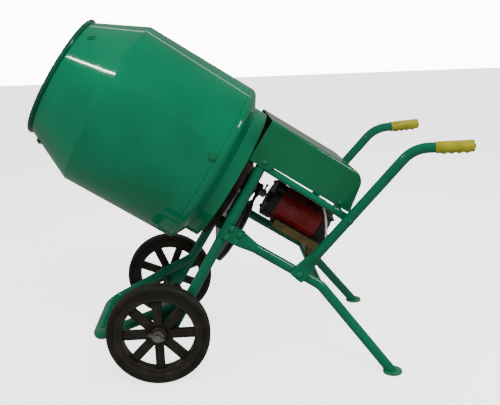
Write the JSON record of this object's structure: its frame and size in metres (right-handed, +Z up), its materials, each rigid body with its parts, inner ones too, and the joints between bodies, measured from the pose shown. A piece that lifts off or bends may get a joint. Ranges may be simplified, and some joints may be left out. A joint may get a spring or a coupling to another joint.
{
  "type": "concrete mixer",
  "caption": "Barrow concrete mixer: a tilted steel drum with inner blades, turned through a ring gear and a belt by an electric motor, on a tube frame with wheels, legs and handles.",
  "frame": {"origin": "on the ground, below the middle of the machine's length and width", "axes": "+X towards the handles, +Y to the machine's right, +Z up"},
  "size_m": [1.3627, 0.67, 1.1122],
  "materials": {
    "green_enamel": "gloss enamel",
    "dark_green_enamel": "gloss enamel",
    "blade_enamel": "gloss enamel, worn",
    "cast_gear": "as cast, greased teeth",
    "turned_steel": "turned",
    "zinc_bolt": "zinc plated",
    "dark_bolt": "painted over",
    "pulley_iron": "turned cast iron",
    "motor_red": "satin enamel",
    "motor_black": "satin black",
    "tray_olive": "satin primer",
    "wheel_plastic": "moulded",
    "tyre_rubber": "solid rubber",
    "grip_olive": "moulded soft plastic",
    "foot_green": "scuffed enamel",
    "belt_rubber": "fabric-faced rubber",
    "lead_white": "white sheath",
    "gland_black": "nylon",
    "switch_black": "moulded",
    "button_green": "moulded",
    "button_red": "moulded"
  },
  "bodies": {
    "frame": {"axle": "turned_steel", "axle_plates": "green_enamel", "bearing_plate": "green_enamel", "cable_glands": "gland_black", "countershaft_bearings": "turned_steel", "drum_bearings": "turned_steel", "frame_bolts": "dark_bolt", "hood": "green_enamel", "hood_bolts": "dark_bolt", "hood_brackets": "green_enamel", "left_foot": "foot_green", "left_grip": "grip_olive", "left_handle": "green_enamel", "left_leg": "green_enamel", "left_rail": "green_enamel", "left_upright": "green_enamel", "motor_body": "motor_red", "motor_front_bell": "motor_black", "motor_lead": "lead_white", "motor_rear_bell": "motor_black", "motor_screws": "motor_black", "motor_tray": "tray_olive", "nose_hoop": "green_enamel", "rear_cross_tube": "green_enamel", "right_foot": "foot_green", "right_grip": "grip_olive", "right_handle": "green_enamel", "right_leg": "green_enamel", "right_rail": "green_enamel", "right_upright": "green_enamel", "split_pins": "zinc_bolt", "switch_box": "switch_black", "terminal_box": "motor_black", "tray_brackets": "tray_olive", "v_belt": "belt_rubber", "wheel_spacers": "zinc_bolt", "wheel_washers": "zinc_bolt"},
    "drum": {"drum_cone": "green_enamel", "drum_barrel": "green_enamel", "drum_base": "green_enamel", "mouth_rim": "dark_green_enamel", "mixing_blades": "blade_enamel", "blade_bolts": "dark_bolt", "ring_gear": "cast_gear", "ring_gear_bolts": "zinc_bolt", "drum_hub": "turned_steel", "spindle_nut": "zinc_bolt"},
    "countershaft_set": {"countershaft": "turned_steel", "pinion": "turned_steel", "drive_pulley": "pulley_iron"},
    "motor_rotor": {"motor_shaft": "turned_steel", "motor_pulley": "pulley_iron", "pulley_set_screw": "zinc_bolt", "motor_fan": "gland_black"},
    "left_road_wheel": {"left_wheel": "wheel_plastic", "left_tyre": "tyre_rubber"},
    "right_road_wheel": {"right_wheel": "wheel_plastic", "right_tyre": "tyre_rubber"},
    "start_push": {"start_button": "button_green"},
    "stop_push": {"stop_button": "button_red"}
  },
  "joints": [
    {"name": "drum_spin", "type": "hinge", "parent": "frame", "child": "drum", "pos_m": [0.01403, 0, 0.56569], "axis": [0.8377, 0, -0.5461], "continuous": true},
    {"name": "countershaft_spin", "type": "hinge", "parent": "frame", "child": "countershaft_set", "pos_m": [-0.07335, 0, 0.43165], "axis": [0.8377, 0, -0.5461], "continuous": true},
    {"name": "motor_shaft_spin", "type": "hinge", "parent": "frame", "child": "motor_rotor", "pos_m": [0.15644, 0, 0.47285], "axis": [0.8377, 0, -0.5461], "continuous": true},
    {"name": "left_wheel_spin", "type": "hinge", "parent": "frame", "child": "left_road_wheel", "pos_m": [-0.28, -0.279, 0.16], "axis": [0, 1, 0], "continuous": true},
    {"name": "right_wheel_spin", "type": "hinge", "parent": "frame", "child": "right_road_wheel", "pos_m": [-0.28, 0.279, 0.16], "axis": [0, 1, 0], "continuous": true},
    {"name": "start_press", "type": "slide", "parent": "frame", "child": "start_push", "axis": [-0.8377, 0, 0.5461], "range_m": [0, 0.004], "stiffness_N_per_m": 400, "springref_m": -0.002},
    {"name": "stop_press", "type": "slide", "parent": "frame", "child": "stop_push", "axis": [-0.8377, 0, 0.5461], "range_m": [0, 0.004], "stiffness_N_per_m": 400, "springref_m": -0.002}
  ],
  "couplings": [
    {"joint": "countershaft_spin", "follows": "drum_spin", "ratio": 6.3333},
    {"joint": "motor_shaft_spin", "follows": "drum_spin", "ratio": 34.079}
  ]
}
